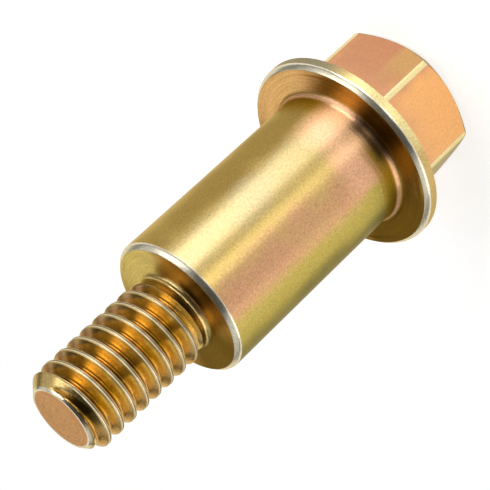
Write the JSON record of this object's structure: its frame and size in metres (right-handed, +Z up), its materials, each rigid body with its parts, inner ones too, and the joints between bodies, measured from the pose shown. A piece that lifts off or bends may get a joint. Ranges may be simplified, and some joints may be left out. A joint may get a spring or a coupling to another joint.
{
  "type": "shoulder bolt",
  "caption": "Shoulder bolt with a flanged hex head, a plain cylindrical shoulder and a smaller right-hand thread, in yellow zinc plated steel.",
  "frame": {"origin": "centre of the top of the head, which the bolt stands on", "axes": "+Z up along the bolt's axis, from the head to the thread; two of the hex's flats face +X and -X, and two of its corners +Y and -Y"},
  "size_m": [0.0184, 0.0184, 0.0429],
  "materials": {
    "yellow_zinc_steel": "satin yellow chromate over zinc, iridescent from gold to pink and olive"
  },
  "bodies": {
    "root": {"shoulder_bolt": "yellow_zinc_steel"}
  },
  "joints": []
}
